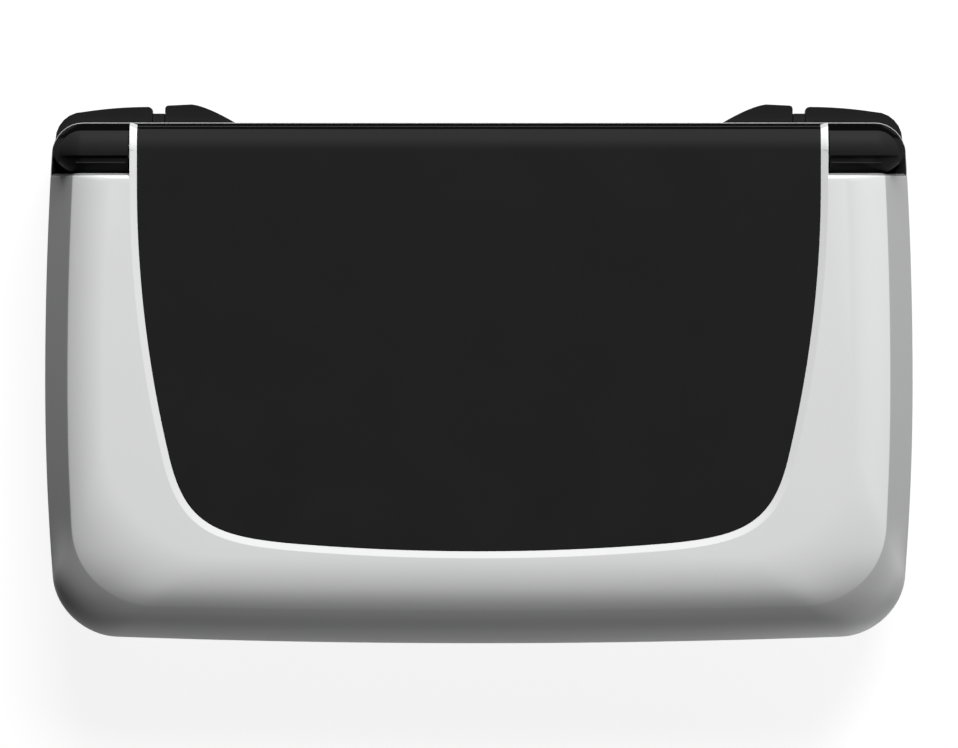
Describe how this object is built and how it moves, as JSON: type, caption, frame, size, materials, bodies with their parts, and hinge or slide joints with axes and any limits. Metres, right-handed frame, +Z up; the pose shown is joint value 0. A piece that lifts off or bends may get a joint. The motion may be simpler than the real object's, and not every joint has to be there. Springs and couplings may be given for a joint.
{
  "type": "clamshell handheld game console",
  "caption": "Closed clamshell handheld console: silver lid with a tapered black inlay over a rear hinge barrel, shoulder buttons behind it, and a recessed control deck inside.",
  "frame": {"origin": "on the table under the middle of the overall box, lid closed", "axes": "+X the player's right, +Y to the hinge, +Z up"},
  "size_m": [0.155, 0.0962, 0.025],
  "materials": {
    "silver_shell": "silver metallic paint, satin",
    "black_panel": "smooth black inlay, soft gloss",
    "black_gloss": "gloss black moulding",
    "black_matte": "fine matt texture",
    "shoulder_plastic": "satin black",
    "button_plastic": "satin black buttons",
    "pivot_plastic": "plain moulding",
    "stick_rubber": "grippy rubber",
    "soft_rubber": "rubber",
    "membrane_rubber": "silicone",
    "screen_glass": "clear cover glass",
    "display": "dark display",
    "steel": "bright steel",
    "dark_screws": "blackened steel",
    "aluminium_plate": "plain sheet",
    "battery_pack": "wrapped pouch cell",
    "circuit_board": "solder mask",
    "jack_plastic": "moulded jack",
    "cable_film": "flexible film",
    "light_pipe": "clear light pipes"
  },
  "bodies": {
    "case": {"base_shell": "silver_shell", "deck": "black_matte", "rear_frame": "black_matte", "knuckle_left": "black_gloss", "knuckle_right": "black_gloss", "hinge_pin_left": "steel", "hinge_pin_right": "steel", "main_board": "circuit_board", "heat_spreader": "aluminium_plate", "battery": "battery_pack", "button_membranes": "membrane_rubber", "status_lights": "light_pipe", "usb_port": "steel", "video_port": "steel", "headphone_jack": "jack_plastic", "card_slot": "steel", "shoulder_pins": "steel", "shoulder_switches": "pivot_plastic", "base_screws": "dark_screws", "board_screws": "dark_screws", "rubber_feet": "soft_rubber", "stick_housing_left": "pivot_plastic", "stick_housing_right": "pivot_plastic"},
    "lid": {"lid_shell": "silver_shell", "lid_panel": "black_panel", "lid_bezel": "black_matte", "screen_glass": "screen_glass", "display_panel": "display", "lid_frame": "aluminium_plate", "hinge_cover": "black_gloss", "hinge_arm_left": "steel", "hinge_arm_right": "steel", "display_cable": "cable_film", "speaker_left": "pivot_plastic", "speaker_right": "pivot_plastic", "lid_magnet": "dark_screws", "lid_bumpers": "soft_rubber", "lid_screws": "dark_screws"},
    "pad_pivot": {"dpad_pivot": "pivot_plastic"},
    "pad": {"dpad": "button_plastic"},
    "button_north_body": {"button_north": "button_plastic"},
    "button_east_body": {"button_east": "button_plastic"},
    "button_south_body": {"button_south": "button_plastic"},
    "button_west_body": {"button_west": "button_plastic"},
    "select_button_body": {"select_button": "button_plastic"},
    "home_button_body": {"home_button": "button_plastic"},
    "start_button_body": {"start_button": "button_plastic"},
    "power_button_body": {"power_button": "button_plastic"},
    "volume_rocker_body": {"volume_rocker": "button_plastic"},
    "bumper_left_body": {"bumper_left": "shoulder_plastic"},
    "bumper_right_body": {"bumper_right": "shoulder_plastic"},
    "trigger_left_body": {"trigger_left": "shoulder_plastic"},
    "trigger_right_body": {"trigger_right": "shoulder_plastic"},
    "yoke_left": {"stick_yoke_left": "pivot_plastic"},
    "shaft_left": {"stick_shaft_left": "steel"},
    "cap_left": {"stick_cap_left": "stick_rubber"},
    "yoke_right": {"stick_yoke_right": "pivot_plastic"},
    "shaft_right": {"stick_shaft_right": "steel"},
    "cap_right": {"stick_cap_right": "stick_rubber"}
  },
  "joints": [
    {"name": "lid_hinge", "type": "hinge", "parent": "case", "child": "lid", "pos_m": [0, 0.03975, 0.02], "axis": [-1, 0, 0], "range_deg": [0, 170]},
    {"name": "pad_pitch", "type": "hinge", "parent": "case", "child": "pad_pivot", "pos_m": [-0.057, -0.013, 0.0096], "axis": [1, 0, 0], "range_deg": [-3.5, 3.5], "stiffness_Nm_per_rad": 0.1},
    {"name": "pad_roll", "type": "hinge", "parent": "pad_pivot", "child": "pad", "pos_m": [-0.057, -0.013, 0.0096], "axis": [0, 1, 0], "range_deg": [-3.5, 3.5], "stiffness_Nm_per_rad": 0.1},
    {"name": "north_press", "type": "slide", "parent": "case", "child": "button_north_body", "axis": [0, 0, 1], "range_m": [-0.0007, 0], "stiffness_N_per_m": 900},
    {"name": "east_press", "type": "slide", "parent": "case", "child": "button_east_body", "axis": [0, 0, 1], "range_m": [-0.0007, 0], "stiffness_N_per_m": 900},
    {"name": "south_press", "type": "slide", "parent": "case", "child": "button_south_body", "axis": [0, 0, 1], "range_m": [-0.0007, 0], "stiffness_N_per_m": 900},
    {"name": "west_press", "type": "slide", "parent": "case", "child": "button_west_body", "axis": [0, 0, 1], "range_m": [-0.0007, 0], "stiffness_N_per_m": 900},
    {"name": "select_press", "type": "slide", "parent": "case", "child": "select_button_body", "axis": [0, 0, 1], "range_m": [-0.0005, 0], "stiffness_N_per_m": 1200},
    {"name": "home_press", "type": "slide", "parent": "case", "child": "home_button_body", "axis": [0, 0, 1], "range_m": [-0.0005, 0], "stiffness_N_per_m": 1200},
    {"name": "start_press", "type": "slide", "parent": "case", "child": "start_button_body", "axis": [0, 0, 1], "range_m": [-0.0005, 0], "stiffness_N_per_m": 1200},
    {"name": "power_press", "type": "slide", "parent": "case", "child": "power_button_body", "axis": [0, 1, 0], "range_m": [-0.0004, 0], "stiffness_N_per_m": 1500},
    {"name": "volume_rock", "type": "hinge", "parent": "case", "child": "volume_rocker_body", "pos_m": [-0.032, 0.0436, 0.009], "axis": [0, 0, 1], "range_deg": [-3, 3], "stiffness_Nm_per_rad": 0.05},
    {"name": "bumper_left_press", "type": "hinge", "parent": "case", "child": "bumper_left_body", "pos_m": [-0.0604, 0.0406, 0.0088], "axis": [0, 0, 1], "range_deg": [0, 5.5], "stiffness_Nm_per_rad": 0.12},
    {"name": "trigger_left_press", "type": "hinge", "parent": "case", "child": "trigger_left_body", "pos_m": [-0.0541, 0.0406, 0.0088], "axis": [0, 0, -1], "range_deg": [0, 6], "stiffness_Nm_per_rad": 0.12},
    {"name": "stick_left_pitch", "type": "hinge", "parent": "case", "child": "yoke_left", "pos_m": [-0.057, 0.015, 0.007], "axis": [1, 0, 0], "range_deg": [-15, 15], "stiffness_Nm_per_rad": 0.017},
    {"name": "stick_left_roll", "type": "hinge", "parent": "yoke_left", "child": "shaft_left", "pos_m": [-0.057, 0.015, 0.007], "axis": [0, 1, 0], "range_deg": [-15, 15], "stiffness_Nm_per_rad": 0.017},
    {"name": "stick_left_click", "type": "slide", "parent": "shaft_left", "child": "cap_left", "axis": [0, 0, 1], "range_m": [-0.0004, 0], "stiffness_N_per_m": 4000},
    {"name": "bumper_right_press", "type": "hinge", "parent": "case", "child": "bumper_right_body", "pos_m": [0.0604, 0.0406, 0.0088], "axis": [0, 0, -1], "range_deg": [0, 5.5], "stiffness_Nm_per_rad": 0.12},
    {"name": "trigger_right_press", "type": "hinge", "parent": "case", "child": "trigger_right_body", "pos_m": [0.0541, 0.0406, 0.0088], "axis": [0, 0, 1], "range_deg": [0, 6], "stiffness_Nm_per_rad": 0.12},
    {"name": "stick_right_pitch", "type": "hinge", "parent": "case", "child": "yoke_right", "pos_m": [0.057, 0.015, 0.007], "axis": [1, 0, 0], "range_deg": [-15, 15], "stiffness_Nm_per_rad": 0.017},
    {"name": "stick_right_roll", "type": "hinge", "parent": "yoke_right", "child": "shaft_right", "pos_m": [0.057, 0.015, 0.007], "axis": [0, 1, 0], "range_deg": [-15, 15], "stiffness_Nm_per_rad": 0.017},
    {"name": "stick_right_click", "type": "slide", "parent": "shaft_right", "child": "cap_right", "axis": [0, 0, 1], "range_m": [-0.0004, 0], "stiffness_N_per_m": 4000}
  ]
}
